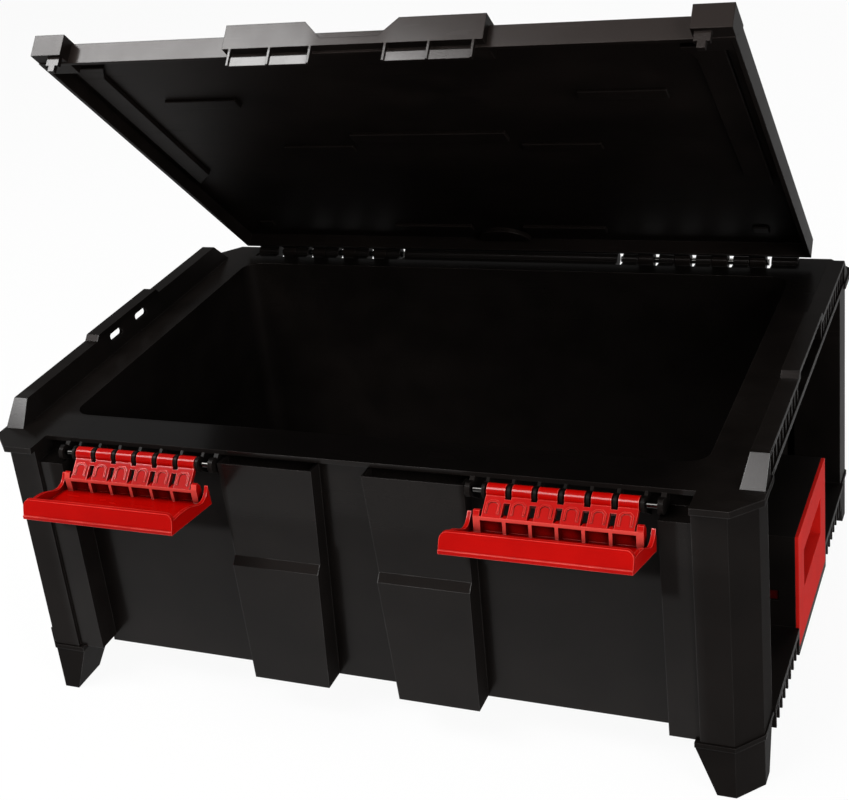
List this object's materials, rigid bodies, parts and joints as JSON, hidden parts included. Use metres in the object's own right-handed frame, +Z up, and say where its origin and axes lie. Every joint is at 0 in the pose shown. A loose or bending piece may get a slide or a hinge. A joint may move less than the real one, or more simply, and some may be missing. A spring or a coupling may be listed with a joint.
{
  "type": "stackable storage box",
  "caption": "Stackable box with a hinged lid, flip-over latches on a comb hinge, side handles, raised side rails and tall corner feet, shown with the lid part open",
  "frame": {"origin": "centre of the resting box, lid and latches open, on the surface that its feet stand on", "axes": "+Z up, -Y to the front with the latches, +X to the right seen from the front"},
  "size_m": [0.5466, 0.4492, 0.4785],
  "materials": {
    "black_plastic": "satin moulded",
    "foot_plastic": "satin moulded",
    "red_plastic": "gloss moulded",
    "pin_steel": "drawn wire"
  },
  "bodies": {
    "case": {"case_tub": "black_plastic", "foot_front_right": "foot_plastic", "foot_front_left": "foot_plastic", "foot_rear_right": "foot_plastic", "foot_rear_left": "foot_plastic", "handle_right": "red_plastic", "handle_left": "red_plastic", "latch_pin_right": "pin_steel", "latch_pin_left": "pin_steel", "hinge_pin_right": "pin_steel", "hinge_pin_left": "pin_steel"},
    "lid": {"lid": "black_plastic"},
    "latch_right": {"latch_right": "red_plastic"},
    "latch_left": {"latch_left": "red_plastic"}
  },
  "joints": [
    {"name": "lid_hinge", "type": "hinge", "parent": "case", "child": "lid", "pos_m": [0, 0.21725, 0.211], "axis": [-1, 0, 0], "range_deg": [-42.57, 58]},
    {"name": "latch_right_hinge", "type": "hinge", "parent": "case", "child": "latch_right", "pos_m": [0.1533, -0.15845, 0.204], "axis": [-1, 0, 0], "range_deg": [-42.56, 150.44]},
    {"name": "latch_left_hinge", "type": "hinge", "parent": "case", "child": "latch_left", "pos_m": [-0.1533, -0.15845, 0.204], "axis": [-1, 0, 0], "range_deg": [-33.44, 159.56]}
  ]
}
